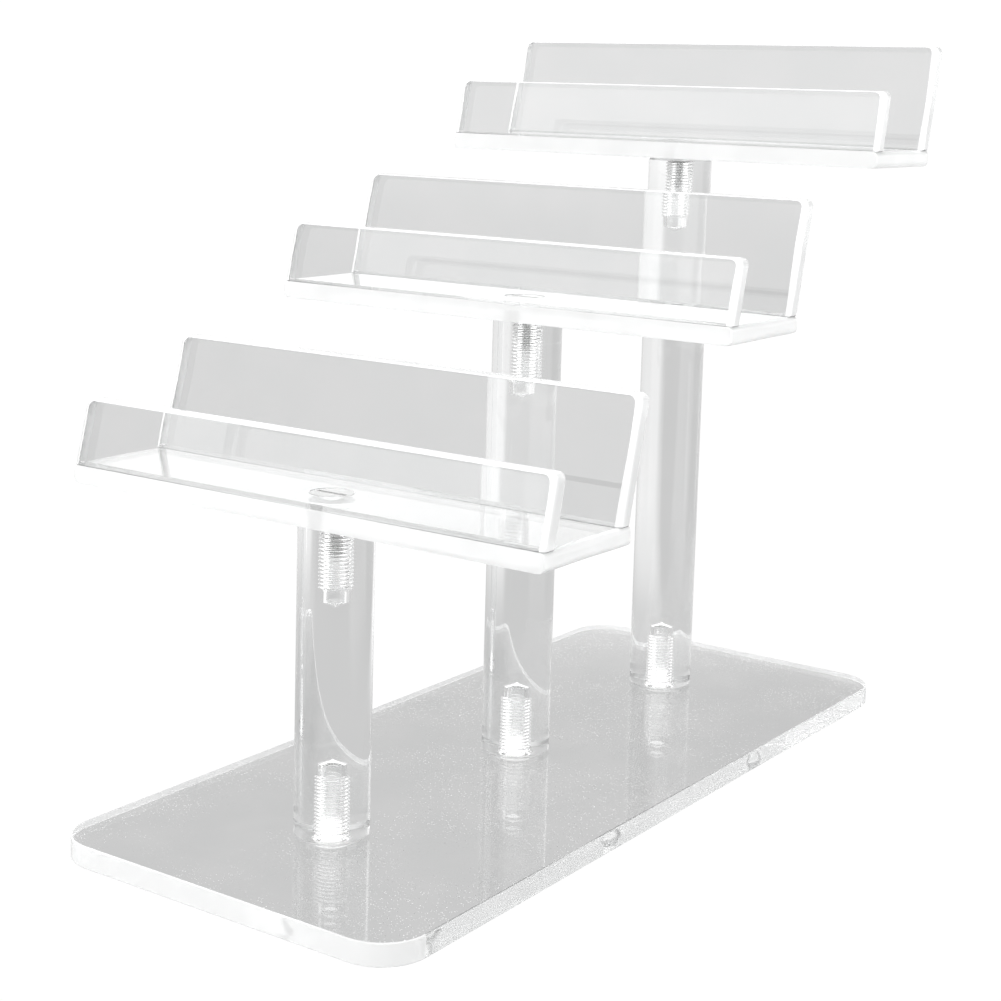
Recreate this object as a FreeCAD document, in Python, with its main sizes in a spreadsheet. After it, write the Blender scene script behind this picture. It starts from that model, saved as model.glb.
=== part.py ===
"""Three-tier clear acrylic rack for small bottles.

A flat base plate carries three round rods on its centre line, and each rod is taller than the one
in front of it. Every rod ends in a tray that swivels on one countersunk screw: a floor with a low
front lip and a taller back wall, both leaning back. Frame: origin at the centre of the base's
underside, +Z up, the low end of the rack towards -Y. Millimetres.
"""
import FreeCAD, Part
import os
import Sketcher

DIMENSIONS = {
    # base plate
    "base_width": 112.0,
    "base_length": 265.0,
    "base_thickness": 6.0,
    "base_corner_radius": 13.0,
    # rods
    "front_margin": 46.0,
    "rod_spacing": 84.5,
    "rod_diameter": 20.0,
    "rod_chamfer": 1.0,
    "front_rod_length": 85.5,
    "rod_step": 44.0,
    # blind tapped hole in each rod end
    "drill_diameter": 5.0,
    "drill_tip": 1.5,
    "foot_drill_depth": 20.0,
    "foot_tapped_depth": 17.0,
    "top_drill_depth": 22.5,
    "top_tapped_depth": 19.5,
    # trays
    "tray_length": 152.0,
    "floor_depth": 38.0,
    "floor_thickness": 5.0,
    "sheet_thickness": 5.0,
    "lean_angle": 14.0,
    "lip_rise": 17.4,
    "back_rise": 31.4,
    "wall_corner_radius": 2.0,
    # countersunk screws
    "thread_diameter": 6.0,
    "thread_play": 0.05,
    "head_diameter": 11.0,
    "head_rim": 0.3,
    "head_sink": 0.1,
    "head_play": 0.1,
    "screw_tip_chamfer": 0.6,
    "slot_width": 1.4,
    "slot_depth": 1.5,
    "base_screw_length": 12.0,
    "tray_screw_length": 15.0,
    "base_hole_play": 0.2,
    "swivel_gap": 0.05,
}
TIERS = ("front", "middle", "rear")

doc = FreeCAD.newDocument("bottle_rack")
sheet = doc.addObject("Spreadsheet::Sheet", "dims")
for row, (alias, value) in enumerate(DIMENSIONS.items(), start=1):
    sheet.set(f"A{row}", alias)
    sheet.set(f"B{row}", str(value))
    sheet.setAlias(f"B{row}", alias)
doc.recompute()

bodies = []


def new_body(name):
    """An empty body whose label is the name of its file."""
    body = doc.addObject("PartDesign::Body", name)
    body.Label = name
    bodies.append(body)
    return body


def origin_plane(body, role):
    return next(f for f in body.Origin.OriginFeatures if f.Role == role)


def new_sketch(body, name, role):
    sketch = body.newObject("Sketcher::SketchObject", name)
    sketch.AttachmentSupport = [(origin_plane(body, role), "")]
    sketch.MapMode = "FlatFace"
    return sketch


def bind_constraint(sketch, name, constraint, expression):
    """Adds one named dimension and binds it to the sheet."""
    index = sketch.addConstraint(constraint)
    sketch.renameConstraint(index, name)
    sketch.setExpression(f"Constraints.{name}", expression)


def value_of(expression):
    """The present value of a sheet expression, to place geometry before it is constrained."""
    return float(sheet.evalExpression(expression.replace("dims.", "")))


def pin_point(sketch, line, tag, across, up):
    """Holds the start of a line at two expressions; "0" puts it on the sketch's own axis."""
    if across == "0":
        sketch.addConstraint(Sketcher.Constraint("PointOnObject", line, 1, -2))
    else:
        value = value_of(across)
        rule = Sketcher.Constraint("DistanceX", -1, 1, line, 1, value)
        bind_constraint(sketch, f"{tag}_across", rule, across)
    if up == "0":
        sketch.addConstraint(Sketcher.Constraint("PointOnObject", line, 1, -1))
    else:
        value = value_of(up)
        rule = Sketcher.Constraint("DistanceY", -1, 1, line, 1, value)
        bind_constraint(sketch, f"{tag}_up", rule, up)


def polygon(sketch, corners):
    """A closed outline through corners, each a pair of sheet expressions."""
    places = [FreeCAD.Vector(value_of(a), value_of(b), 0) for a, b in corners]
    lines = [
        sketch.addGeometry(Part.LineSegment(start, end), False)
        for start, end in zip(places, places[1:] + places[:1])
    ]
    for line, following in zip(lines, lines[1:] + lines[:1]):
        sketch.addConstraint(Sketcher.Constraint("Coincident", line, 2, following, 1))
    for line, (across, up) in zip(lines, corners):
        pin_point(sketch, line, f"corner{line}", across, up)


def rectangle_corners(width, length):
    """The four corners of a rectangle centred on the sketch's origin."""
    signs = ((-1, -1), (1, -1), (1, 1), (-1, 1))
    return [(f"{x} * {width} / 2", f"{y} * {length} / 2") for x, y in signs]


def pad(body, name, sketch, length, midplane=False):
    feature = body.newObject("PartDesign::Pad", name)
    feature.Profile = sketch
    if midplane:
        feature.SideType = "Symmetric"
    feature.setExpression("Length", length)
    return feature


def revolve(body, name, sketch):
    """A full turn of the profile about the body's own Z axis."""
    feature = body.newObject("PartDesign::Revolution", name)
    feature.Profile = sketch
    feature.ReferenceAxis = (sketch, ["V_Axis"])
    feature.Angle = 360.0
    return feature


def edges_along(feature, direction, keep):
    """Names of the straight edges of a feature that run along direction and pass keep(middle)."""
    doc.recompute()
    names = []
    for number, edge in enumerate(feature.Shape.Edges, start=1):
        run = edge.Vertexes[-1].Point - edge.Vertexes[0].Point
        if run.Length > 0 and abs(run.normalize().dot(direction)) > 0.999:
            if keep(edge.CenterOfMass):
                names.append(f"Edge{number}")
    return names


def round_edges(body, name, feature, edge_names, radius):
    fillet = body.newObject("PartDesign::Fillet", name)
    fillet.Base = (feature, edge_names)
    fillet.setExpression("Radius", radius)
    return fillet


def countersunk_hole(body, name, centres, face_height, bore, downwards):
    """Through holes with a 90 degree countersink that opens at face_height.

    A head's cone starts its rim and its sink below the face, so the mouth is wider than the head
    by both, and by the play.
    """
    mouth = "dims.head_diameter + 2 * (dims.head_sink + dims.head_rim + dims.head_play)"
    sketch = new_sketch(body, f"{name}_centres", "XY_Plane")
    sketch.setExpression("AttachmentOffset.Base.z", face_height)
    for tag, (across, up) in enumerate(centres):
        place = FreeCAD.Vector(value_of(across), value_of(up), 0)
        circle = sketch.addGeometry(Part.Circle(place, FreeCAD.Vector(0, 0, 1), 1.0), False)
        sketch.addConstraint(Sketcher.Constraint("PointOnObject", circle, 3, -2))
        sketch.addConstraint(Sketcher.Constraint("Radius", circle, 1.0))
        if up == "0":
            sketch.addConstraint(Sketcher.Constraint("PointOnObject", circle, 3, -1))
        else:
            rule = Sketcher.Constraint("DistanceY", -1, 1, circle, 3, value_of(up))
            bind_constraint(sketch, f"centre{tag}_up", rule, up)
    doc.recompute()
    hole = body.newObject("PartDesign::Hole", name)
    hole.Profile = sketch
    doc.recompute()
    hole.ThreadType = "None"
    hole.DepthType = "ThroughAll"
    hole.DrillPoint = "Flat"
    hole.HoleCutType = "Countersink"
    hole.HoleCutCustomValues = True
    hole.HoleCutCountersinkAngle = 90.0
    hole.Reversed = not downwards
    hole.setExpression("Diameter", bore)
    hole.setExpression("HoleCutDiameter", mouth)
    return hole


def make_base_plate():
    """Rounded rectangular plate with three holes countersunk from below."""
    body = new_body("base_plate")
    outline = new_sketch(body, "base_outline", "XY_Plane")
    polygon(outline, rectangle_corners("dims.base_width", "dims.base_length"))
    plate = pad(body, "base_pad", outline, "dims.base_thickness")
    corners = edges_along(plate, FreeCAD.Vector(0, 0, 1), lambda middle: True)
    round_edges(body, "base_corners", plate, corners, "dims.base_corner_radius")
    centres = [("0", rod_place(tier)) for tier in range(len(TIERS))]
    bore = "dims.thread_diameter + 2 * dims.base_hole_play"
    countersunk_hole(body, "base_holes", centres, "0", bore, downwards=False)


def rod_place(tier):
    """How far along Y a rod stands from the middle of the base."""
    return f"-dims.base_length / 2 + dims.front_margin + {tier} * dims.rod_spacing"


def rod_length(tier):
    return f"(dims.front_rod_length + {tier} * dims.rod_step)"


def rod_end(drill_depth, tapped_depth):
    """Half of a rod end's section, from the drill's tip out to the side, heights from the end."""
    rod = "dims.rod_diameter / 2"
    thread = "dims.thread_diameter / 2 + dims.thread_play"
    drill = "dims.drill_diameter / 2"
    return [
        ("0", f"{drill_depth} + dims.drill_tip"),
        (drill, drill_depth),
        (drill, tapped_depth),
        (thread, tapped_depth),
        (thread, "0"),
        (f"{rod} - dims.rod_chamfer", "0"),
        (rod, "dims.rod_chamfer"),
    ]


def make_rod(tier):
    """Round bar, chamfered at both ends, with a drilled and tapped blind hole in each end."""
    length = rod_length(tier)
    foot = rod_end("dims.foot_drill_depth", "dims.foot_tapped_depth")
    top = [
        (across, length if up == "0" else f"{length} - ({up})")
        for across, up in rod_end("dims.top_drill_depth", "dims.top_tapped_depth")[::-1]
    ]
    body = new_body(f"{TIERS[tier]}_rod")
    profile = new_sketch(body, f"{TIERS[tier]}_rod_profile", "XZ_Plane")
    polygon(profile, foot + top)
    revolve(body, f"{TIERS[tier]}_rod_turned", profile)
    body.setExpression("Placement.Base.y", rod_place(tier))
    body.setExpression("Placement.Base.z", "dims.base_thickness")


def floor_underside(tier):
    return f"dims.base_thickness + {rod_length(tier)} + dims.swivel_gap"


def make_tray_floor(tier):
    """Flat plate centred on its rod, with one hole countersunk from above."""
    name = f"{TIERS[tier]}_tray_floor"
    body = new_body(name)
    outline = new_sketch(body, f"{name}_outline", "XY_Plane")
    polygon(outline, rectangle_corners("dims.tray_length", "dims.floor_depth"))
    pad(body, f"{name}_pad", outline, "dims.floor_thickness")
    bore = "dims.thread_diameter + 2 * dims.thread_play"
    height = "dims.floor_thickness"
    countersunk_hole(body, f"{name}_hole", [("0", "0")], height, bore, downwards=True)
    body.setExpression("Placement.Base.y", rod_place(tier))
    body.setExpression("Placement.Base.z", floor_underside(tier))


def make_tray_wall(tier, part_name, rise, foot_place):
    """Sheet that stands on the floor and leans back, its foot and top cut level.

    The section is a parallelogram: foot_place is where its foot starts, measured back from the
    rod's axis, and the level foot is the sheet's thickness over the cosine of the lean.
    """
    foot = "dims.sheet_thickness / cos(dims.lean_angle * 1 deg)"
    shift = f"{rise} * tan(dims.lean_angle * 1 deg)"
    name = f"{TIERS[tier]}_tray_{part_name}"
    body = new_body(name)
    section = new_sketch(body, f"{name}_section", "YZ_Plane")
    corners = [
        (foot_place, "0"),
        (f"{foot_place} + {foot}", "0"),
        (f"{foot_place} + {foot} + {shift}", rise),
        (f"{foot_place} + {shift}", rise),
    ]
    polygon(section, corners)
    sheet_pad = pad(body, f"{name}_pad", section, "dims.tray_length", midplane=True)
    top = value_of(rise)
    ends = edges_along(sheet_pad, FreeCAD.Vector(0, 1, 0), lambda middle: middle.z > top / 2)
    round_edges(body, f"{name}_corners", sheet_pad, ends, "dims.wall_corner_radius")
    body.setExpression("Placement.Base.y", rod_place(tier))
    body.setExpression("Placement.Base.z", f"{floor_underside(tier)} + dims.floor_thickness")


def make_screw(name, length, tier, head_height, head_down):
    """Countersunk slotted screw, modelled head up with its head's face on the local XY plane."""
    head = "dims.head_diameter / 2"
    shank = "dims.thread_diameter / 2"
    cone = f"-dims.head_rim - ({head} - {shank})"
    profile_corners = [
        ("0", "0"),
        (head, "0"),
        (head, "-dims.head_rim"),
        (shank, cone),
        (shank, f"-{length} + dims.screw_tip_chamfer"),
        (f"{shank} - dims.screw_tip_chamfer", f"-{length}"),
        ("0", f"-{length}"),
    ]
    body = new_body(name)
    profile = new_sketch(body, f"{name}_profile", "XZ_Plane")
    polygon(profile, profile_corners)
    turned = revolve(body, f"{name}_turned", profile)
    slot = new_sketch(body, f"{name}_slot", "XY_Plane")
    polygon(slot, rectangle_corners("dims.head_diameter + dims.slot_width", "dims.slot_width"))
    doc.recompute()
    solid_volume = turned.Shape.Volume
    pocket = body.newObject("PartDesign::Pocket", f"{name}_slot_cut")
    pocket.Profile = slot
    pocket.setExpression("Length", "dims.slot_depth")
    doc.recompute()
    if pocket.Shape.Volume >= solid_volume:
        raise RuntimeError(f"{name}: the slot cuts nothing")
    turn = 180.0 if head_down else 0.0
    body.Placement = FreeCAD.Placement(
        FreeCAD.Vector(0, 0, 0), FreeCAD.Rotation(FreeCAD.Vector(1, 0, 0), turn)
    )
    body.setExpression("Placement.Base.y", rod_place(tier))
    body.setExpression("Placement.Base.z", head_height)


make_base_plate()
for tier, tier_name in enumerate(TIERS):
    make_rod(tier)
    make_tray_floor(tier)
    front_edge = "-dims.floor_depth / 2"
    rear_edge = "dims.floor_depth / 2 - dims.sheet_thickness / cos(dims.lean_angle * 1 deg)"
    make_tray_wall(tier, "lip", "dims.lip_rise", front_edge)
    make_tray_wall(tier, "back_wall", "dims.back_rise", rear_edge)
    make_screw(f"{tier_name}_base_screw", "dims.base_screw_length", tier, "dims.head_sink", True)
    tray_head = f"{floor_underside(tier)} + dims.floor_thickness - dims.head_sink"
    make_screw(f"{tier_name}_tray_screw", "dims.tray_screw_length", tier, tray_head, False)
doc.recompute()

for item in doc.Objects:
    if "Invalid" in item.State or "Error" in item.State:
        raise RuntimeError(f"{item.Name}: {item.State}")
for body in bodies:
    if body.Shape.isNull() or not body.Shape.isValid() or len(body.Shape.Solids) != 1:
        raise RuntimeError(f"{body.Label}: its shape is not one valid solid")

os.makedirs("parts", exist_ok=True)
for body in bodies:
    body.Shape.exportStep(f"parts/{body.Label}.step")
    box = body.Shape.BoundBox
    spans = ((box.XMin, box.XMax), (box.YMin, box.YMax), (box.ZMin, box.ZMax))
    print(body.Label, [f"{low:.2f}..{high:.2f}" for low, high in spans], round(body.Shape.Volume, 1))
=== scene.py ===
"""Clear acrylic three-tier bottle rack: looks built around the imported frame."""
import math

import bmesh
import bpy
import numpy as np
from mathutils import Euler, Matrix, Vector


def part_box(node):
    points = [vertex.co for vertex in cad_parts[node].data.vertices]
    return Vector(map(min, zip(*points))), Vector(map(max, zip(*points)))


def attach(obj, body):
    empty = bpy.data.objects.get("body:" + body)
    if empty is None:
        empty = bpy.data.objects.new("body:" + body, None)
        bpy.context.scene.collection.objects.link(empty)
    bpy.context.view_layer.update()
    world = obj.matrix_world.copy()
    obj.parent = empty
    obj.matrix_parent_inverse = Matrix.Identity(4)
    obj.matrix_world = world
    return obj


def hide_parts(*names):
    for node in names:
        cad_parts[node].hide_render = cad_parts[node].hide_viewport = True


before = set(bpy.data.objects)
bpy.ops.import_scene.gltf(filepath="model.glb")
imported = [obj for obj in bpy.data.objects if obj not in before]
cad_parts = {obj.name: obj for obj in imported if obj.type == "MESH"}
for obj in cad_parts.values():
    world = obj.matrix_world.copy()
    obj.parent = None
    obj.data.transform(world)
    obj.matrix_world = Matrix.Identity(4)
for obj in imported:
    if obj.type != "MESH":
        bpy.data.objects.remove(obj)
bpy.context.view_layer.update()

bl_info = {
    "name": "Acrylic bottle rack",
    "version": (1, 0, 0),
    "blender": (4, 5, 0),
    "location": "3D View > Sidebar > Rack",
    "description": "Builds the base, rods, swivelling trays and screws of a clear acrylic rack",
    "category": "Object",
}

TIERS = ("front", "middle", "rear")
MM = 0.001
CAMERA_WHITE = 1.02  # strength at which the table and the sky show plain white to the camera
FULL_TURN = 2 * math.pi


def node_low(node):
    return np.array(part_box(node)[0])


def node_high(node):
    return np.array(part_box(node)[1])


def node_size(node):
    return node_high(node) - node_low(node)


def rod_axis(tier):
    """X and Y of the axis that a rod, its screws and its tray share."""
    return (node_low(f"{tier}_rod") + node_high(f"{tier}_rod"))[:2] / 2


# ---------------------------------------------------------------- settings


class RackShape(bpy.types.PropertyGroup):
    """Sizes that the frame's boxes don't give."""

    corner_radius: bpy.props.FloatProperty(
        name="Base corner", description="Radius of the base plate's upright corners",
        default=13 * MM, unit="LENGTH")
    edge_break: bpy.props.FloatProperty(
        name="Edge break", description="Width of the small bevel on the base plate's edges",
        default=0.35 * MM, unit="LENGTH")
    sheet_break: bpy.props.FloatProperty(
        name="Sheet edge break", description="Rounding along the long edges of the tray sheets",
        default=0.3 * MM, unit="LENGTH")
    seam_break: bpy.props.FloatProperty(
        name="Seam edge break", description="Rounding left along an edge that is bonded flush",
        default=0.04 * MM, unit="LENGTH")
    end_polish: bpy.props.FloatProperty(
        name="Buffed end", description="Rounding that buffing leaves on the ends of the tray sheets",
        default=1.7 * MM, unit="LENGTH")
    top_corner: bpy.props.FloatProperty(
        name="Wall corner", description="Radius of the upper corners of the lips and back walls",
        default=2.2 * MM, unit="LENGTH")
    lean: bpy.props.FloatProperty(
        name="Wall lean", description="How far the tray walls lean back from upright",
        default=math.radians(14), subtype="ANGLE")
    rod_chamfer: bpy.props.FloatProperty(
        name="Rod chamfer", description="Bevel at both ends of a rod",
        default=1 * MM, unit="LENGTH")
    pitch: bpy.props.FloatProperty(
        name="Thread pitch", description="Axial distance between two turns of the screw thread",
        default=1 * MM, unit="LENGTH")
    drill_radius: bpy.props.FloatProperty(
        name="Drill radius", description="Radius of the blind hole before it is tapped",
        default=2.5 * MM, unit="LENGTH")
    tap_radius: bpy.props.FloatProperty(
        name="Tap radius", description="Radius at the bottom of the tapped thread",
        default=3.05 * MM, unit="LENGTH")
    thread_height: bpy.props.FloatProperty(
        name="Thread height", description="Height of the thread, from crest to root",
        default=0.38 * MM, unit="LENGTH")
    foot_drill: bpy.props.FloatProperty(
        name="Foot drill depth", description="Depth of a rod's lower hole to its shoulder",
        default=20 * MM, unit="LENGTH")
    foot_tap: bpy.props.FloatProperty(
        name="Foot thread", description="Depth of the thread in a rod's lower hole",
        default=17 * MM, unit="LENGTH")
    top_drill: bpy.props.FloatProperty(
        name="Top drill depth", description="Depth of a rod's upper hole to its shoulder",
        default=22.5 * MM, unit="LENGTH")
    top_tap: bpy.props.FloatProperty(
        name="Top thread", description="Depth of the thread in a rod's upper hole",
        default=19.5 * MM, unit="LENGTH")
    drill_tip: bpy.props.FloatProperty(
        name="Drill tip", description="Height of the cone that the drill's point leaves",
        default=1.5 * MM, unit="LENGTH")
    head_rim: bpy.props.FloatProperty(
        name="Head rim", description="Height of the straight rim of a screw's head",
        default=0.3 * MM, unit="LENGTH")
    slot_width: bpy.props.FloatProperty(
        name="Slot width", description="Width of the driver slot",
        default=1.4 * MM, unit="LENGTH")
    slot_depth: bpy.props.FloatProperty(
        name="Slot depth", description="Depth of the driver slot",
        default=1.5 * MM, unit="LENGTH")
    base_bore: bpy.props.FloatProperty(
        name="Base hole", description="Radius of the screw holes in the base plate",
        default=3.2 * MM, unit="LENGTH")
    tray_bore: bpy.props.FloatProperty(
        name="Tray hole", description="Radius of the screw hole in a tray floor",
        default=3.05 * MM, unit="LENGTH")
    sink_radius: bpy.props.FloatProperty(
        name="Countersink", description="Radius of a countersink at the face",
        default=6 * MM, unit="LENGTH")
    bond: bpy.props.FloatProperty(
        name="Bond", description="How far a wall's foot sinks into the floor it is bonded to",
        default=0.06 * MM, unit="LENGTH")
    seat_gap: bpy.props.FloatProperty(
        name="Seat gap", description="Air film between a rod and the plate it stands on",
        default=0.04 * MM, unit="LENGTH")


class RackLook(bpy.types.PropertyGroup):
    """Colours, finishes, light and camera."""

    tint: bpy.props.FloatVectorProperty(
        name="Acrylic", description="Colour that the clear acrylic lets through",
        default=(0.975, 0.98, 0.98, 1.0), size=4, subtype="COLOR")
    base_tint: bpy.props.FloatVectorProperty(
        name="Base acrylic", description="Colour that the base plate's faces let through",
        default=(0.95, 0.955, 0.955, 1.0), size=4, subtype="COLOR")
    edge_colour: bpy.props.FloatVectorProperty(
        name="Cut edge", description="Colour of the sawn and buffed edges",
        default=(0.93, 0.935, 0.935, 1.0), size=4, subtype="COLOR")
    # Painted glow: emission on the base plate's sawn edges in place of light piped through the
    # acrylic.
    painted_edge_glow: bpy.props.FloatProperty(
        name="Edge glow", description="Light piped inside the acrylic that a sawn edge scatters back",
        default=0.32)
    screw_colour: bpy.props.FloatVectorProperty(
        name="Tray screw", description="Colour of the clear tray screws",
        default=(0.74, 0.74, 0.735, 1.0), size=4, subtype="COLOR")
    white_colour: bpy.props.FloatVectorProperty(
        name="Base screw", description="Colour of the white base screws",
        default=(0.95, 0.95, 0.945, 1.0), size=4, subtype="COLOR")
    screw_clarity: bpy.props.FloatProperty(
        name="Screw clarity", description="Share of light that a tray screw's surface lets through",
        default=0.4, subtype="FACTOR")
    index: bpy.props.FloatProperty(
        name="Refractive index", description="Refractive index of acrylic", default=1.49)
    edge_clarity: bpy.props.FloatProperty(
        name="Edge clarity", description="Share of light that a sawn edge lets through",
        default=0.35, subtype="FACTOR")
    side_clarity: bpy.props.FloatProperty(
        name="Side clarity", description="Share of light that the base's polished side lets through",
        default=0.75, subtype="FACTOR")
    backdrop_grey: bpy.props.FloatProperty(
        name="Surround", description="Brightness of the far surroundings seen through the rack",
        default=0.60)
    far_lift: bpy.props.FloatProperty(
        name="Far lift", description="How much brighter the surroundings get towards the horizon",
        default=1.13)
    # Painted shadow: grey that the table emits in a disc round the rack, standing in for the rack's
    # shadow on the table.
    rack_shadow_grey: bpy.props.FloatProperty(
        name="Table", description="Brightness of the table seen through the rack", default=0.61)
    lens: bpy.props.FloatProperty(
        name="Lens", description="Focal length on a 36 mm frame, in millimetres", default=70.09)
    shift: bpy.props.FloatProperty(
        name="Frame shift", description="Vertical shift of the frame, in frame widths",
        default=-0.150)
    camera_place: bpy.props.FloatVectorProperty(
        name="Camera", description="Where the camera stands",
        default=(0.3105, -0.4634, 0.2005), size=3, unit="LENGTH")
    camera_turn: bpy.props.FloatProperty(
        name="Turn", description="How far the camera is turned left from +Y",
        default=0.606, subtype="ANGLE")
    camera_tilt: bpy.props.FloatProperty(
        name="Tilt", description="How far the camera looks up", default=-0.135, subtype="ANGLE")
    camera_roll: bpy.props.FloatProperty(
        name="Roll", description="How far the camera is rolled", default=0.028, subtype="ANGLE")


# ---------------------------------------------------------------- surfaces

# Places of the finishes in a piece's list of materials.
POLISHED, CUT, HOLE, SIDE = range(4)


def patch(rows, material=POLISHED, smooth=True, ring=True, closed=False):
    """Four-sided faces between neighbouring rows of points.

    rows has the shape (rows, points along a row, 3). ring joins each row's last point to its
    first, and closed joins the last row to the first.
    """
    index = np.arange(rows.shape[0] * rows.shape[1]).reshape(rows.shape[:2])
    if ring:
        index = np.concatenate([index, index[:, :1]], axis=1)
    if closed:
        index = np.concatenate([index, index[:1]], axis=0)
    corners = (index[:-1, :-1], index[:-1, 1:], index[1:, 1:], index[1:, :-1])
    faces = np.stack(corners, axis=-1).reshape(-1, 4)
    return rows.reshape(-1, 3), faces, material, smooth


def cap(loop, material=POLISHED):
    """One flat face over a loop of points."""
    return loop, np.arange(len(loop))[None, :], material, False


def build_piece(name, patches, materials, sharp_angle=math.radians(35)):
    """Joins patches into one closed mesh object at the origin, with its faces turned outwards."""
    points, faces, slots, smooth = [], [], [], []
    start = 0
    for rows, quads, material, is_smooth in patches:
        points.append(rows)
        faces += (quads + start).tolist()
        material = np.broadcast_to(material, len(quads))
        slots.append(material)
        smooth.append(np.full(len(quads), is_smooth))
        start += len(rows)
    mesh = bpy.data.meshes.new(name)
    mesh.from_pydata(np.concatenate(points).tolist(), [], faces)
    mesh.polygons.foreach_set("material_index", np.concatenate(slots).astype(np.int32))
    mesh.polygons.foreach_set("use_smooth", np.concatenate(smooth))
    work = bmesh.new()
    work.from_mesh(mesh)
    bmesh.ops.remove_doubles(work, verts=work.verts, dist=0.002 * MM)
    bmesh.ops.recalc_face_normals(work, faces=work.faces)
    open_edges = sum(1 for edge in work.edges if not edge.is_manifold)
    if open_edges:
        raise RuntimeError(f"{name}: {open_edges} open edges")
    work.to_mesh(mesh)
    work.free()
    smooth = np.empty(len(mesh.polygons), bool)
    mesh.polygons.foreach_get("use_smooth", smooth)
    mesh.set_sharp_from_angle(angle=sharp_angle)
    mesh.polygons.foreach_set("use_smooth", smooth)
    for material in materials:
        mesh.materials.append(material)
    piece = bpy.data.objects.new(name, mesh)
    bpy.context.scene.collection.objects.link(piece)
    return piece


def arc(centre, radius, start, end, steps):
    """Points on a circle from angle start to end, both included."""
    angle = np.linspace(start, end, steps + 1)
    return np.asarray(centre) + radius * np.stack([np.cos(angle), np.sin(angle)], axis=1)


def line(start, end, steps):
    """Evenly spaced points from start up to, but not at, end."""
    share = np.arange(steps)[:, None] / steps
    return np.asarray(start) + share * (np.asarray(end) - np.asarray(start))


def outline(low, high, radii, steps, corner_steps=8):
    """Anticlockwise rectangle with rounded corners.

    radii are those of the corners (low, low), (high, low), (high, high) and (low, high); steps are
    the numbers of parts that the sides along the first and second direction are cut into. The
    number of points depends on the steps alone, so two outlines made with the same steps pair up.
    """
    (x0, y0), (x1, y1) = low, high
    a, b, c, d = radii
    quarter = math.pi / 2
    across, up = steps
    return np.concatenate([
        arc((x0 + a, y0 + a), a, 2 * quarter, 3 * quarter, corner_steps),
        line((x0 + a, y0), (x1 - b, y0), across)[1:],
        arc((x1 - b, y0 + b), b, 3 * quarter, 4 * quarter, corner_steps),
        line((x1, y0 + b), (x1, y1 - c), up)[1:],
        arc((x1 - c, y1 - c), c, 0, quarter, corner_steps),
        line((x1 - c, y1), (x0 + d, y1), across)[1:],
        arc((x0 + d, y1 - d), d, quarter, 2 * quarter, corner_steps),
        line((x0, y1 - d), (x0, y0 + a), up)[1:],
    ])


def with_height(loop, height):
    """A flat loop raised to a height, which may differ from point to point."""
    return np.column_stack([loop, np.broadcast_to(height, len(loop))])


def rounded_rim(outer, inner, bottom, top, depth, steps=6):
    """Rows down the edge of a plate, from the upper face to the lower one.

    Each end is a quarter ellipse: it starts on the face at the inner loop, runs level, and ends
    upright at the outer loop, depth away from the face. One more row just past each quarter keeps
    the upright band between them flat in shading.
    """
    angle = np.linspace(0, math.pi / 2, steps + 1)
    past = 0.12 * MM
    rows = [
        with_height(inner + (outer - inner) * math.sin(t), top - depth * (1 - math.cos(t)))
        for t in angle
    ]
    rows += [with_height(outer, top - depth - past), with_height(outer, bottom + depth + past)]
    rows += [
        with_height(inner + (outer - inner) * math.sin(t), bottom + depth * (1 - math.cos(t)))
        for t in angle[::-1]
    ]
    return np.stack(rows)


def circle_facing(loop, centre, radius):
    """A circle whose points lie in the directions of the loop's points, seen from the centre."""
    offset = loop - centre
    return centre + radius * offset / np.linalg.norm(offset, axis=1, keepdims=True)


def lathe(profile, centre, columns):
    """A profile of (radius, height) turned about the upright axis through centre."""
    angle = np.arange(columns) * FULL_TURN / columns
    radius, height = np.asarray(profile, float).T
    x = centre[0] + radius[:, None] * np.cos(angle)
    y = centre[1] + radius[:, None] * np.sin(angle)
    return np.stack([x, y, np.broadcast_to(height[:, None], x.shape)], axis=-1)


def thread_rows(centre, start, end, inner, outer, pitch, columns, lead_in=0.5):
    """Rows of a right-hand screw thread on the upright axis through centre.

    The radius is a cosine wave, as a worn tap leaves it: its phase is the height over the pitch
    less the turn, so that the wave climbs one pitch in a full turn. Over the lead-in, in pitches,
    at both ends the thread fades into the plain inner cylinder.
    """
    rows_per_pitch = 12
    count = int(abs(end - start) / pitch * rows_per_pitch) + 1
    height = np.linspace(start, end, count)[:, None]
    angle = np.arange(columns)[None, :] * FULL_TURN / columns
    phase = height / pitch - angle / FULL_TURN
    swing = np.abs((phase % 1.0) * 2 - 1)
    share = 0.5 - 0.5 * np.cos(math.pi * swing)
    span = abs(end - start)
    from_ends = np.minimum(np.abs(height - start), span - np.abs(height - start))
    fade = np.clip(from_ends / (lead_in * pitch), 0, 1)
    radius = inner + (outer - inner) * share * fade
    x = centre[0] + radius * np.cos(angle)
    y = centre[1] + radius * np.sin(angle)
    return np.stack([x, y, np.broadcast_to(height, x.shape)], axis=-1)


def finish_piece(piece, body, nodes):
    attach(piece, body)
    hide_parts(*nodes)


# ---------------------------------------------------------------- materials


def new_group(name, inputs, outputs):
    """A shader node group with float or vector sockets, and its input and output nodes."""
    group = bpy.data.node_groups.new(name, "ShaderNodeTree")
    for label, kind, default in inputs:
        socket = group.interface.new_socket(label, in_out="INPUT", socket_type=kind)
        if default is not None:
            socket.default_value = default
    for label, kind in outputs:
        group.interface.new_socket(label, in_out="OUTPUT", socket_type=kind)
    return group, group.nodes.new("NodeGroupInput"), group.nodes.new("NodeGroupOutput")


def add_node(tree, kind, links=(), **values):
    """A node with its inputs linked or set: links are (input name, source socket) pairs."""
    node = tree.nodes.new(kind)
    sockets = {}
    for key, value in values.items():
        if hasattr(node, key):
            setattr(node, key, value)
        else:
            sockets[key.replace("_", " ")] = value
    for key, value in sockets.items():
        node.inputs[key].default_value = value
    for key, source in links:
        tree.links.new(source, node.inputs[key])
    return node


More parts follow.
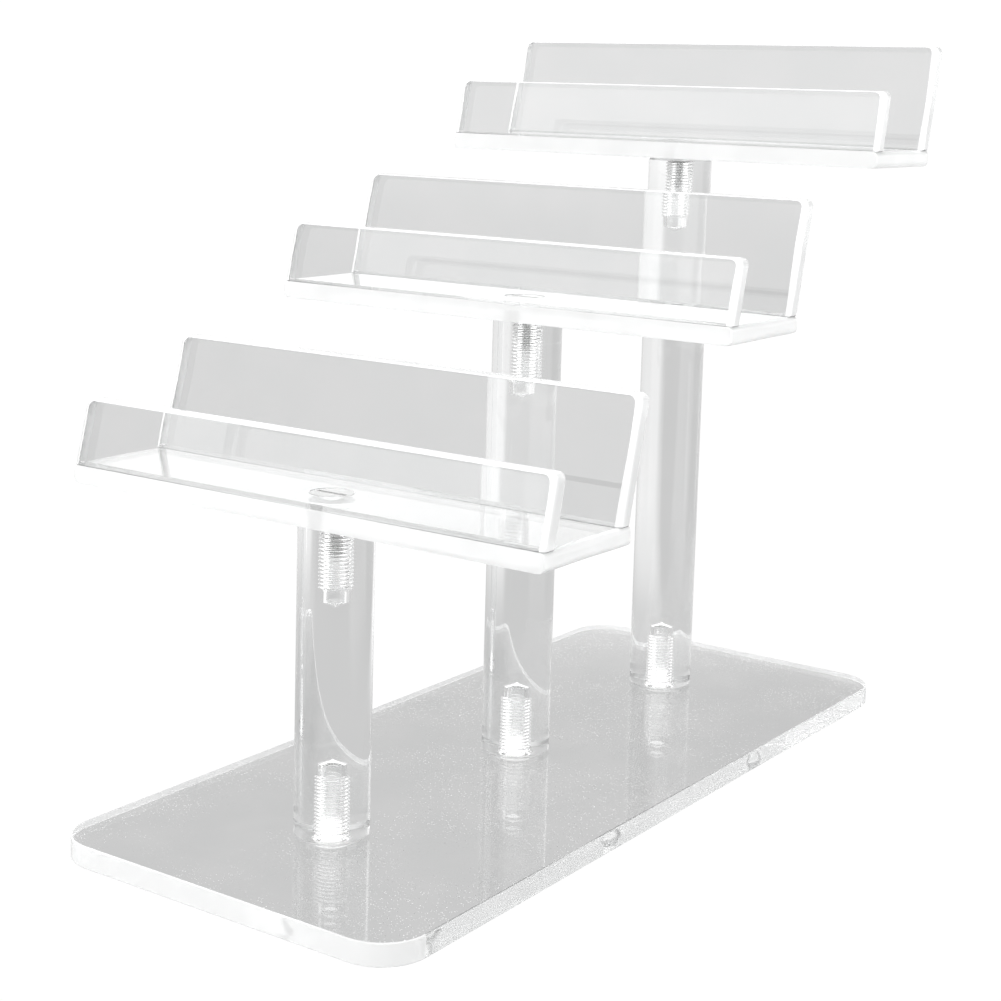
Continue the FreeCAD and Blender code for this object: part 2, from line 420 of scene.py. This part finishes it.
def feed(tree, socket, value):
    """Links a socket to another one, or sets it to a number."""
    if isinstance(value, bpy.types.NodeSocket):
        tree.links.new(value, socket)
    else:
        socket.default_value = value


def math_node(tree, operation, *values, clamp=False):
    """A Math node on sockets or numbers."""
    node = tree.nodes.new("ShaderNodeMath")
    node.operation = operation
    node.use_clamp = clamp
    for socket, value in zip(node.inputs, values):
        feed(tree, socket, value)
    return node.outputs[0]


def threshold(tree, value, low, high):
    """0 below low and 1 above high, with a smooth step between."""
    node = tree.nodes.new("ShaderNodeMapRange")
    node.interpolation_type = "SMOOTHSTEP"
    for label, number in (("Value", value), ("From Min", low), ("From Max", high)):
        feed(tree, node.inputs[label], number)
    return node.outputs["Result"]


def noise(tree, vector, scale, detail=2.0, stretch=None):
    """Noise value at a scale, on coordinates that may be stretched along an axis."""
    if stretch is not None:
        mapping = tree.nodes.new("ShaderNodeMapping")
        mapping.inputs["Scale"].default_value = stretch
        tree.links.new(vector, mapping.inputs["Vector"])
        vector = mapping.outputs["Vector"]
    node = tree.nodes.new("ShaderNodeTexNoise")
    node.inputs["Detail"].default_value = detail
    feed(tree, node.inputs["Scale"], scale)
    tree.links.new(vector, node.inputs["Vector"])
    return node.outputs["Fac"]


def mix_values(tree, factor, first, second):
    """A blend of two sockets or numbers."""
    node = tree.nodes.new("ShaderNodeMix")
    for label, value in (("Factor", factor), ("A", first), ("B", second)):
        feed(tree, node.inputs[label], value)
    return node.outputs["Result"]


def value_curve(tree, value, span, points, peak=3.0):
    """A value looked up on straight lines between (value, level) points over a span."""
    node = tree.nodes.new("ShaderNodeFloatCurve")
    low, high = span
    curve = node.mapping.curves[0].points
    places = [((at - low) / (high - low), level / peak) for at, level in points]
    curve[0].location, curve[-1].location = places[0], places[-1]
    for place in places[1:-1]:
        curve.new(*place)
    for point in curve:
        point.handle_type = "VECTOR"
    node.mapping.update()
    share = math_node(tree, "MULTIPLY_ADD", value, 1 / (high - low), -low / (high - low))
    tree.links.new(share, node.inputs["Value"])
    return math_node(tree, "MULTIPLY", node.outputs["Value"], peak)


def surround_group():
    """How bright the surroundings are in a direction.

    The bearing is the angle from +Y towards +X. Level holds at eye level: a grey sweep stands
    behind the rack, with broad soft panels to its left and right. Shade is the share of the light
    above eye level that is left where a dimmer screen stands, behind the rack to the right.
    """
    group, given, result = new_group(
        "Round the rack", [("Direction", "NodeSocketVector", None)],
        [("Level", "NodeSocketFloat"), ("Shade", "NodeSocketFloat")])
    split = group.nodes.new("ShaderNodeSeparateXYZ")
    group.links.new(given.outputs["Direction"], split.inputs["Vector"])
    bearing = math_node(group, "ARCTAN2", split.outputs["X"], split.outputs["Y"])
    grey = bpy.context.scene.rack_look.backdrop_grey
    levels = [(-180, grey * 1.1), (-166, grey * 1.1), (-158, 1.7), (-130, 1.7),
              (-115, grey * 0.92), (-60, grey * 0.94), (-35, grey), (-19, grey), (-13, 0.84),
              (48, 0.86), (62, 2.2), (110, 2.2), (122, 0.85), (150, grey * 1.1),
              (180, grey * 1.1)]
    shades = [(-180, 1.0), (-30, 1.0), (-15, 0.66), (48, 0.68), (62, 1.0), (180, 1.0)]
    for label, points in (("Level", levels), ("Shade", shades)):
        value = value_curve(group, bearing, (-math.pi, math.pi),
                            [(math.radians(angle), level) for angle, level in points])
        group.links.new(value, result.inputs[label])
    return group


def handling_group():
    """Wipe marks and dust grains on a polished face.

    Haze is a roughness: soft clouds where fingers and cloths have been, and grains of dust from
    the cells of a Voronoi pattern. Grains is 1 on a grain, and serves as relief for a Bump node.
    """
    group, given, result = new_group(
        "Handling marks",
        [("Vector", "NodeSocketVector", None), ("Wipe", "NodeSocketFloat", 0.5),
         ("Dust", "NodeSocketFloat", 0.5)],
        [("Haze", "NodeSocketFloat"), ("Grains", "NodeSocketFloat")])
    vector = given.outputs["Vector"]
    clouds = threshold(group, noise(group, vector, 34.0, 4.0), 0.52, 0.78)
    streaks = threshold(group, noise(group, vector, 60.0, 3.0, (0.25, 1.0, 2.0)), 0.58, 0.8)
    wipe = math_node(group, "ADD", clouds, math_node(group, "MULTIPLY", streaks, 0.5))
    wipe = math_node(group, "MULTIPLY", wipe, given.outputs["Wipe"])
    cells = add_node(group, "ShaderNodeTexVoronoi", [("Vector", vector)], Scale=1300.0)
    chance = group.nodes.new("ShaderNodeSeparateColor")
    group.links.new(cells.outputs["Color"], chance.inputs["Color"])
    near = math_node(group, "LESS_THAN", cells.outputs["Distance"], 0.25)
    few = math_node(group, "LESS_THAN", chance.outputs["Red"],
                    math_node(group, "MULTIPLY", given.outputs["Dust"], 0.35))
    patchy = threshold(group, noise(group, vector, 22.0, 3.0), 0.36, 0.56)
    grains = math_node(group, "MULTIPLY", math_node(group, "MULTIPLY", near, few), patchy)
    haze = math_node(group, "ADD", math_node(group, "MULTIPLY", wipe, 0.10),
                     math_node(group, "MULTIPLY", grains, 0.55), clamp=True)
    group.links.new(haze, result.inputs["Haze"])
    group.links.new(grains, result.inputs["Grains"])
    return group


def ripple_group():
    """Slow waviness of cast acrylic, and the marks that a saw and buffing leave on a cut edge.

    Waves is broad noise. Marks is noise drawn out upright, as a blade leaves it, over a finer
    grain. Both are heights for a Bump node; Tone is a light and dark pattern for colour.
    """
    group, given, result = new_group(
        "Sheet and saw relief",
        [("Vector", "NodeSocketVector", None), ("Broad", "NodeSocketFloat", 18.0),
         ("Fine", "NodeSocketFloat", 120.0)],
        [("Waves", "NodeSocketFloat"), ("Marks", "NodeSocketFloat"), ("Tone", "NodeSocketFloat")])
    vector = given.outputs["Vector"]
    waves = noise(group, vector, given.outputs["Broad"], 1.5)
    blade = noise(group, vector, given.outputs["Fine"], 2.0, (1.0, 1.0, 0.12))
    lumps = noise(group, vector, 55.0, 2.0)
    marks = math_node(group, "ADD", math_node(group, "MULTIPLY", blade, 0.5), lumps)
    tone = threshold(group, lumps, 0.35, 0.7)
    group.links.new(waves, result.inputs["Waves"])
    group.links.new(marks, result.inputs["Marks"])
    group.links.new(tone, result.inputs["Tone"])
    return group


def group_node(tree, name, maker, vector):
    """A node of a shared group, which maker makes the first time, fed with a vector."""
    node = tree.nodes.new("ShaderNodeGroup")
    node.node_tree = bpy.data.node_groups.get(name) or maker()
    tree.links.new(vector, node.inputs[0])
    return node


def new_surface(name, index, transmission):
    """A material, its tree, its Principled shader and its object coordinates."""
    material = bpy.data.materials.new(name)
    material.use_nodes = True
    tree = material.node_tree
    shader = tree.nodes["Principled BSDF"]
    shader.inputs["IOR"].default_value = index
    shader.inputs["Transmission Weight"].default_value = transmission
    return material, tree, shader, tree.nodes.new("ShaderNodeTexCoord").outputs["Object"]


def toned_colour(tree, shader, tone, dark, light):
    """Blends the base colour from dark to light by a tone."""
    shade = tree.nodes.new("ShaderNodeMix")
    shade.data_type = "RGBA"
    shade.inputs["A"].default_value = dark
    shade.inputs["B"].default_value = light
    tree.links.new(tone, shade.inputs["Factor"])
    tree.links.new(shade.outputs["Result"], shader.inputs["Base Color"])


def clear_material(name, index, colour, wipe, dust, wave_depth):
    """Polished clear acrylic: fully transmitting, with handling marks and slow waves."""
    material, tree, shader, place = new_surface(name, index, 1.0)
    marks = group_node(tree, "Handling marks", handling_group, place)
    marks.inputs["Wipe"].default_value = wipe
    marks.inputs["Dust"].default_value = dust
    relief = group_node(tree, "Sheet and saw relief", ripple_group, place)
    tree.links.new(marks.outputs["Haze"], shader.inputs["Roughness"])
    dusty = math_node(tree, "MULTIPLY", marks.outputs["Grains"], 0.85)
    tree.links.new(dusty, shader.inputs["Metallic"])
    toned_colour(tree, shader, relief.outputs["Tone"], colour, [1.0, 1.0, 1.0, 1.0])
    waves = add_node(tree, "ShaderNodeBump", [("Height", relief.outputs["Waves"])],
                     Strength=1.0, Distance=wave_depth)
    grains = add_node(tree, "ShaderNodeBump",
                      [("Height", marks.outputs["Grains"]), ("Normal", waves.outputs["Normal"])],
                      Strength=0.6, Distance=0.02 * MM)
    tree.links.new(grains.outputs["Normal"], shader.inputs["Normal"])
    return material


def edge_material(name, index, colour, clarity, roughness, mark_depth, glow=0.0, solid=False):
    """Sawn and buffed acrylic edge: hazy, partly transmitting, partly scattering white.

    The painted glow is white emission that stands for the light that the sheet collects through its
    faces and pipes to its edge, and shows only from inside the acrylic, or in a solid piece from
    outside too.
    """
    material, tree, shader, place = new_surface(name, index, clarity)
    # Painted glow: white emission, seen from inside only unless the piece is solid.
    shader.inputs["Emission Color"].default_value = (1.0, 1.0, 1.0, 1.0)
    if not solid:
        inside = tree.nodes.new("ShaderNodeNewGeometry").outputs["Backfacing"]
        tree.links.new(inside, shader.inputs["Emission Color"])
    shader.inputs["Emission Strength"].default_value = glow
    relief = group_node(tree, "Sheet and saw relief", ripple_group, place)
    rough = math_node(tree, "MULTIPLY_ADD", relief.outputs["Tone"], 0.12, roughness)
    tree.links.new(rough, shader.inputs["Roughness"])
    dark = [channel * 0.94 for channel in colour[:3]] + [1.0]
    toned_colour(tree, shader, relief.outputs["Tone"], dark, colour)
    bump = add_node(tree, "ShaderNodeBump", [("Height", relief.outputs["Marks"])],
                    Strength=1.0, Distance=mark_depth)
    tree.links.new(bump.outputs["Normal"], shader.inputs["Normal"])
    return material


def rack_material(name):
    """The rack's own finishes by name, each made once."""
    if name in bpy.data.materials:
        return bpy.data.materials[name]
    look = bpy.context.scene.rack_look
    clear = {
        "base face": dict(colour=look.base_tint, wipe=0.15, dust=1.0, wave_depth=0.004 * MM),
        "sheet face": dict(colour=look.tint, wipe=0.3, dust=0.0, wave_depth=0.012 * MM),
        "rod face": dict(colour=look.tint, wipe=0.15, dust=0.0, wave_depth=0.012 * MM),
        "hole face": dict(colour=look.tint, wipe=0.3, dust=0.0, wave_depth=0.002 * MM),
    }
    hazy = {
        "base edge": dict(colour=look.edge_colour, clarity=look.edge_clarity, roughness=0.03,
                          mark_depth=0.012 * MM, glow=look.painted_edge_glow),
        "base side": dict(colour=look.edge_colour, clarity=look.side_clarity, roughness=0.0,
                          mark_depth=0.004 * MM),
        "sheet edge": dict(colour=look.edge_colour, clarity=look.edge_clarity, roughness=0.05,
                           mark_depth=0.015 * MM, glow=0.03),
        "clear screw": dict(colour=look.screw_colour, clarity=look.screw_clarity, roughness=0.12,
                            mark_depth=0.0),
        # Painted glow: the white base screws emit from outside too.
        "white screw": dict(colour=look.white_colour, clarity=0.1, roughness=0.2, mark_depth=0.0,
                            glow=0.4, solid=True),
    }
    if name in clear:
        return clear_material(name, look.index, **clear[name])
    return edge_material(name, look.index, **hazy[name])


# ---------------------------------------------------------------- operators


class RACK_OT_base_plate(bpy.types.Operator):
    """Adds the base plate: a rounded plate with three holes countersunk from below"""

    bl_idname = "rack.base_plate"
    bl_label = "Base plate"

    def execute(self, context):
        shape = context.scene.rack_shape
        low, high = node_low("base_plate"), node_high("base_plate")
        bottom, top = low[2], high[2]
        centres = np.array([rod_axis(tier) for tier in TIERS])
        borders = (centres[:-1, 1] + centres[1:, 1]) / 2
        bevel = shape.edge_break

        def cells(inset):
            """Anticlockwise loops round the three holes, and the plate's whole outline.

            The plate is cut across, half way between its holes. The cut lines and the sides are
            divided the same way in every cell, so that neighbouring cells share their points.
            """
            x0, y0 = low[:2] + inset
            x1, y1 = high[:2] - inset
            radius = shape.corner_radius - inset
            side, cross, end = 16, 20, 12
            front = np.concatenate([
                line((x0, borders[0]), (x0, y0 + radius), side),
                arc((x0 + radius, y0 + radius), radius, math.pi, 1.5 * math.pi, 16),
                line((x0 + radius, y0), (x1 - radius, y0), end)[1:],
                arc((x1 - radius, y0 + radius), radius, 1.5 * math.pi, FULL_TURN, 16),
                line((x1, y0 + radius), (x1, borders[0]), side)[1:],
            ])
            right = line((x1, borders[0]), (x1, borders[1]), side)
            rear = np.concatenate([
                line((x1, borders[1]), (x1, y1 - radius), side),
                arc((x1 - radius, y1 - radius), radius, 0, 0.5 * math.pi, 16),
                line((x1 - radius, y1), (x0 + radius, y1), end)[1:],
                arc((x0 + radius, y1 - radius), radius, 0.5 * math.pi, math.pi, 16),
                line((x0, y1 - radius), (x0, borders[1]), side)[1:],
            ])
            left = line((x0, borders[1]), (x0, borders[0]), side)
            cut_front = line((x1, borders[0]), (x0, borders[0]), cross)
            cut_rear = line((x1, borders[1]), (x0, borders[1]), cross)
            back_front = line((x0, borders[0]), (x1, borders[0]), cross)
            back_rear = line((x0, borders[1]), (x1, borders[1]), cross)
            loops = (
                np.concatenate([front, cut_front]),
                np.concatenate([back_front, right, cut_rear, left]),
                np.concatenate([back_rear, rear]),
            )
            return loops, np.concatenate([front, right, rear, left])

        inner_cells, inner = cells(bevel)
        outer = cells(0.0)[1]
        cone = shape.sink_radius - shape.base_bore
        points, faces, _, _ = patch(rounded_rim(outer, inner, bottom, top, bevel, 3))
        middle = points[faces].mean(axis=1)
        polished = (middle[:, 0] > high[0] - bevel) & (
            np.abs(middle[:, 1]) < high[1] - shape.corner_radius)
        patches = [(points, faces, np.where(polished, SIDE, CUT), True)]
        for centre, cell in zip(centres, inner_cells):
            mouth = circle_facing(cell, centre, shape.sink_radius)
            bore = circle_facing(cell, centre, shape.base_bore)
            under = np.stack([with_height(cell, bottom), with_height(mouth, bottom)])
            sink = np.stack([with_height(mouth, bottom), with_height(bore, bottom + cone)])
            wall = np.stack([with_height(bore, bottom + cone), with_height(bore, top)])
            over = np.stack([with_height(bore, top), with_height(cell, top)])
            patches += [patch(under, smooth=False), patch(sink, HOLE), patch(wall, HOLE),
                        patch(over, smooth=False)]
        finishes = ("base face", "base edge", "hole face", "base side")
        materials = [rack_material(finish) for finish in finishes]
        piece = build_piece("acrylic_base_plate", patches, materials)
        finish_piece(piece, "root", ["base_plate"])
        return {"FINISHED"}


class RACK_OT_rods(bpy.types.Operator):
    """Adds the three rods, each drilled and tapped at both ends"""

    bl_idname = "rack.rods"
    bl_label = "Rods"

    def execute(self, context):
        shape = context.scene.rack_shape
        columns = 72
        materials = [rack_material(n) for n in ("rod face", "sheet edge", "hole face")]
        for tier in TIERS:
            node = f"{tier}_rod"
            low, high = node_low(node), node_high(node)
            centre = rod_axis(tier)
            radius = (high[0] - low[0]) / 2
            bottom, top = low[2] + shape.seat_gap, high[2]
            chamfer = shape.rod_chamfer
            mouth = shape.tap_radius + 0.4 * MM
            crest = shape.tap_radius - shape.thread_height
            drill = shape.drill_radius
            side = lathe([(radius, bottom + chamfer), (radius, top - chamfer)], centre, columns)
            patches = [patch(side)]
            ends = ((bottom, 1, shape.foot_tap, shape.foot_drill),
                    (top, -1, shape.top_tap, shape.top_drill))
            for face, inward, tapped, drilled in ends:
                start = face + inward * (mouth - crest)
                threaded = thread_rows(centre, start, face + inward * tapped, crest,
                                       shape.tap_radius, shape.pitch, columns)
                bevel = lathe([(radius, face + inward * chamfer), (radius - chamfer, face)],
                              centre, columns)
                ring = lathe([(radius - chamfer, face), (mouth, face)], centre, columns)
                lead = lathe([(mouth, face), (crest, start)], centre, columns)
                blind = lathe([(crest, face + inward * tapped), (drill, face + inward * tapped),
                               (drill, face + inward * drilled),
                               (0, face + inward * (drilled + shape.drill_tip))],
                              centre, columns)
                patches += [patch(bevel, CUT), patch(ring, CUT, False), patch(lead, HOLE),
                            patch(threaded, HOLE), patch(blind, HOLE)]
            piece = build_piece(f"acrylic_{node}", patches, materials)
            finish_piece(piece, "root", [node])
        return {"FINISHED"}


def buffed_wave(position, seed):
    """A slow wave between 0 and 1 along an edge: three sines of unlike lengths, added."""
    waves = ((5.3, 0.5), (11.7, 0.3), (23.1, 0.2))
    total = sum(share * np.sin(position / (length * MM) + seed * (k + 1.7))
                for k, (length, share) in enumerate(waves))
    return 0.5 + 0.5 * total


def buffed_slab(low, high, radii, polish, breaks, steps, seed):
    """Outer and inner loops of a sheet whose ends are buffed round, and the rounding's depth.

    The inner loop is where the flat face stops. It lies polish inside the ends, a little more or
    less from place to place, and breaks inside the lower and the upper long edge. The depth into
    the thickness is the larger step between the loops.
    """
    outer = outline(low, high, radii, steps)
    inner_radii = [max(r - breaks[1], 0.2 * MM) for r in radii]
    inner = outline(np.add(low, (polish, breaks[0])), np.subtract(high, (polish, breaks[1])),
                    inner_radii, steps)
    gap = outer - inner
    wave = 0.75 + 0.4 * buffed_wave(inner[:, 1] + 0.35 * inner[:, 0], seed)
    inner[:, 0] = outer[:, 0] - gap[:, 0] * wave
    return outer, inner, np.abs(outer - inner).max(axis=1)


class RACK_OT_tray_floors(bpy.types.Operator):
    """Adds the three tray floors, each with one hole countersunk from above"""

    bl_idname = "rack.tray_floors"
    bl_label = "Tray floors"

    def execute(self, context):
        shape = context.scene.rack_shape
        materials = [rack_material(n) for n in ("sheet face", "sheet edge", "hole face")]
        for seed, tier in enumerate(TIERS):
            node = f"{tier}_tray_floor"
            low, high = node_low(node), node_high(node)
            bottom, top = low[2], high[2]
            centre = rod_axis(tier)
            radius = 0.5 * MM
            outer, inner, depth = buffed_slab(
                low[:2], high[:2], [radius] * 4, shape.end_polish, [shape.seam_break] * 2,
                (60, 20), seed + 0.4)
            mouth = circle_facing(inner, centre, shape.sink_radius)
            bore = circle_facing(inner, centre, shape.tray_bore)
            cone = shape.sink_radius - shape.tray_bore
            over = np.stack([with_height(inner, top), with_height(mouth, top)])
            sink = np.stack([with_height(mouth, top), with_height(bore, top - cone)])
            wall = np.stack([with_height(bore, top - cone), with_height(bore, bottom)])
            under = np.stack([with_height(bore, bottom), with_height(inner, bottom)])
            patches = [
                patch(rounded_rim(outer, inner, bottom, top, depth), CUT),
                patch(over, smooth=False), patch(sink, HOLE), patch(wall, HOLE),
                patch(under, smooth=False),
            ]
            piece = build_piece(f"acrylic_{node}", patches, materials)
            finish_piece(piece, f"{tier}_tray", [node])
        return {"FINISHED"}


class RACK_OT_tray_walls(bpy.types.Operator):
    """Adds the front lip and back wall of each tray, bonded to its floor"""

    bl_idname = "rack.tray_walls"
    bl_label = "Tray walls"

    def execute(self, context):
        shape = context.scene.rack_shape
        materials = [rack_material(n) for n in ("sheet face", "sheet edge")]
        slope = math.tan(shape.lean)
        for seed, tier in enumerate(TIERS):
            for part in ("lip", "back_wall"):
                node = f"{tier}_tray_{part}"
                low, high = node_low(node), node_high(node)
                rise = high[2] - low[2]
                thickness = high[1] - low[1] - slope * rise
                foot, top = low[2] - shape.bond, high[2]
                corner, square = shape.top_corner, 0.25 * MM
                outer, inner, depth = buffed_slab(
                    (low[0], foot), (high[0], top), (square, square, corner, corner),
                    shape.end_polish, (shape.seam_break, shape.sheet_break), (60, 16),
                    seed + len(part))
                upright = rounded_rim(outer, inner, 0.0, thickness, depth)
                x, z, across = np.moveaxis(upright, -1, 0)
                y = low[1] + across + slope * (z - low[2])
                rim = np.stack([x, y, z], axis=-1)
                points, faces, _, _ = patch(rim)
                buried = points[faces][:, :, 2].max(axis=1) < low[2] + 0.3 * MM
                material = np.where(buried, POLISHED, CUT)
                patches = [(points, faces, material, True), cap(rim[0]), cap(rim[-1])]
                piece = build_piece(f"acrylic_{node}", patches, materials)
                finish_piece(piece, f"{tier}_tray", [node])
        return {"FINISHED"}


class RACK_OT_screws(bpy.types.Operator):
    """Adds the countersunk slotted screws that hold the rods and the trays"""

    bl_idname = "rack.screws"
    bl_label = "Screws"

    def execute(self, context):
        shape = context.scene.rack_shape
        columns = 48
        for tier in TIERS:
            for part, head_up in (("base_screw", False), ("tray_screw", True)):
                node = f"{tier}_{part}"
                low, high = node_low(node), node_high(node)
                centre = rod_axis(tier)
                head = (high[0] - low[0]) / 2
                face, tip = (high[2], low[2]) if head_up else (low[2], high[2])
                along = 1 if tip > face else -1
                crest = shape.tap_radius - 0.07 * MM
                root = crest - shape.thread_height
                neck = face + along * (shape.head_rim + head - crest)
                length = abs(tip - face)
                end = face + along * (length - 0.5 * MM)
                start = neck + along * 0.3 * MM
                groove = 0.5 * shape.slot_width
                top_rows = self.slotted_face(centre, face, along, head, groove,
                                             shape.slot_depth, columns)
                cone = lathe([(head, face), (head, face + along * shape.head_rim),
                              (crest, neck), (root, start)], centre, columns)
                threaded = thread_rows(centre, start, end, root, crest, shape.pitch, columns)
                point = lathe([(root, end), (root - 0.5 * MM, tip), (0, tip)], centre, columns)
                patches = top_rows + [patch(cone), patch(threaded), patch(point)]
                finish = rack_material("clear screw" if head_up else "white screw")
                piece = build_piece(f"plastic_{node}", patches, [finish])
                finish_piece(piece, "root", [node])
        return {"FINISHED"}

    def slotted_face(self, centre, face, along, head, groove, depth, columns):
        """The head's flat face with a blind slot across it, short of the rim.

        The slot's outline is the disc's own circle squeezed: across, to half the slot's width, and
        along, to most of the head's radius, with square shoulders from a high power of the sine.
        """
        angle = np.arange(columns) * FULL_TURN / columns
        rim = np.stack([np.cos(angle), np.sin(angle)], axis=1)
        power = 0.18
        squared = np.sign(rim) * np.abs(rim) ** power
        slot = squared * np.array([0.86 * head, groove])
        sunk = face + along * depth
        rows = np.stack([with_height(centre + head * rim, face),
                         with_height(centre + slot, face)])
        walls = np.stack([with_height(centre + slot, face), with_height(centre + slot, sunk)])
        return [patch(rows, smooth=False), patch(walls, smooth=False),
                cap(with_height(centre + slot, sunk))]


class RACK_OT_studio(bpy.types.Operator):
    """Adds the table, the soft light round it and the camera"""

    bl_idname = "rack.studio"
    bl_label = "Studio"

    def execute(self, context):
        scene, look = context.scene, context.scene.rack_look
        self.make_table(look)
        self.make_sky(scene, look)
        self.make_camera(scene, look)
        scene.view_settings.view_transform = "Standard"
        scene.cycles.max_bounces = 32
        scene.cycles.transmission_bounces = 32
        scene.cycles.glossy_bounces = 16
        scene.cycles.use_denoising = True
        scene.cycles.caustics_refractive = True
        scene.cycles.caustics_reflective = True
        return {"FINISHED"}

    def make_table(self, look):
        """A level sheet just under the base plate, white to the eye. Seen through the rack, its
        emission is painted light and shade: a grey disc round the rack is a painted shadow of the
        rack, and farther out the brightness copies the surroundings' light by bearing.
        """
        half, height = 12.0, -0.2 * MM
        corners = [(-half, -half, height), (half, -half, height), (half, half, height),
                   (-half, half, height)]
        mesh = bpy.data.meshes.new("table")
        mesh.from_pydata(corners, [], [(0, 1, 2, 3)])
        material = bpy.data.materials.new("table top painted shadow")
        material.use_nodes = True
        tree = material.node_tree
        tree.nodes.clear()
        place = tree.nodes.new("ShaderNodeTexCoord").outputs["Object"]
        around = group_node(tree, "Round the rack", surround_group, place)
        distance = tree.nodes.new("ShaderNodeVectorMath")
        distance.operation = "LENGTH"
        tree.links.new(place, distance.inputs[0])
        # Painted shadow within 0.13 to 0.3 m of the rack; beyond it, painted light that copies the
        # surroundings' level by bearing, brighter still far out.
        far = threshold(tree, distance.outputs["Value"], 0.13, 0.3)
        farthest = threshold(tree, distance.outputs["Value"], 1.2, 5.0)
        lift = mix_values(tree, farthest, 1.0, look.far_lift)
        level = math_node(tree, "MULTIPLY", around.outputs["Level"], lift)
        seen = mix_values(tree, far, look.rack_shadow_grey, level)
        direct = tree.nodes.new("ShaderNodeLightPath").outputs["Is Camera Ray"]
        level = mix_values(tree, direct, seen, CAMERA_WHITE)
        glow = tree.nodes.new("ShaderNodeEmission")
        tree.links.new(level, glow.inputs["Strength"])
        out = tree.nodes.new("ShaderNodeOutputMaterial")
        tree.links.new(glow.outputs["Emission"], out.inputs["Surface"])
        mesh.materials.append(material)
        table = bpy.data.objects.new("table", mesh)
        bpy.context.scene.collection.objects.link(table)

    def make_sky(self, scene, look):
        """Soft light from all round: by direction at eye level, by height above it."""
        world = bpy.data.worlds.new("light tent")
        world.use_nodes = True
        scene.world = world
        tree = world.node_tree
        tree.nodes.clear()
        direction = tree.nodes.new("ShaderNodeTexCoord").outputs["Generated"]
        split = tree.nodes.new("ShaderNodeSeparateXYZ")
        tree.links.new(direction, split.inputs["Vector"])
        around = group_node(tree, "Round the rack", surround_group, direction)
        above = value_curve(tree, split.outputs["Z"], (-1, 1), [
            (-1.0, 1.35), (0.09, 1.35), (0.22, 1.3), (0.30, 0.6), (0.45, 0.62), (0.6, 1.0),
            (0.85, 2.2), (1.0, 2.4)])
        above = math_node(tree, "MULTIPLY", above, around.outputs["Shade"])
        ahead = threshold(tree, math_node(tree, "MULTIPLY", split.outputs["Y"], -1.0), 0.1, 0.4)
        above = mix_values(tree, ahead, above, 1.9)
        rising = threshold(tree, split.outputs["Z"], 0.045, 0.09)
        level = math_node(tree, "MULTIPLY", around.outputs["Level"], look.far_lift)
        level = mix_values(tree, rising, level, above)
        direct = tree.nodes.new("ShaderNodeLightPath").outputs["Is Camera Ray"]
        level = mix_values(tree, direct, level, CAMERA_WHITE)
        sky = tree.nodes.new("ShaderNodeBackground")
        sky.inputs["Color"].default_value = (1.0, 1.0, 1.0, 1.0)
        tree.links.new(level, sky.inputs["Strength"])
        out = tree.nodes.new("ShaderNodeOutputWorld")
        tree.links.new(sky.outputs["Background"], out.inputs["Surface"])

    def make_camera(self, scene, look):
        camera = bpy.data.objects.new("camera", bpy.data.cameras.new("camera"))
        camera.data.lens = look.lens
        camera.data.shift_y = look.shift
        camera.data.clip_start = 0.01
        turn = Euler((math.pi / 2 + look.camera_tilt, 0, look.camera_turn)).to_matrix()
        turn = turn @ Matrix.Rotation(look.camera_roll, 3, "Z")
        camera.matrix_world = Matrix.Translation(look.camera_place) @ turn.to_4x4()
        scene.collection.objects.link(camera)
        scene.camera = camera


class RACK_PT_sidebar(bpy.types.Panel):
    """Lists the rack's pieces and settings"""

    bl_idname = "RACK_PT_sidebar"
    bl_label = "Acrylic rack"
    bl_space_type = "VIEW_3D"
    bl_region_type = "UI"
    bl_category = "Rack"

    def draw(self, context):
        for operator in OPERATORS:
            self.layout.operator(operator.bl_idname)
        for settings in (context.scene.rack_shape, context.scene.rack_look):
            for name in type(settings).__annotations__:
                self.layout.prop(settings, name)


OPERATORS = (RACK_OT_base_plate, RACK_OT_rods, RACK_OT_tray_floors, RACK_OT_tray_walls,
             RACK_OT_screws, RACK_OT_studio)
CLASSES = (RackShape, RackLook) + OPERATORS + (RACK_PT_sidebar,)


def register():
    for cls in CLASSES:
        bpy.utils.register_class(cls)
    bpy.types.Scene.rack_shape = bpy.props.PointerProperty(type=RackShape)
    bpy.types.Scene.rack_look = bpy.props.PointerProperty(type=RackLook)


def unregister():
    del bpy.types.Scene.rack_look
    del bpy.types.Scene.rack_shape
    for cls in reversed(CLASSES):
        bpy.utils.unregister_class(cls)


def main():
    register()
    bpy.ops.rack.base_plate()
    bpy.ops.rack.rods()
    bpy.ops.rack.tray_floors()
    bpy.ops.rack.tray_walls()
    bpy.ops.rack.screws()
    bpy.ops.rack.studio()


if __name__ == "__main__":
    main()
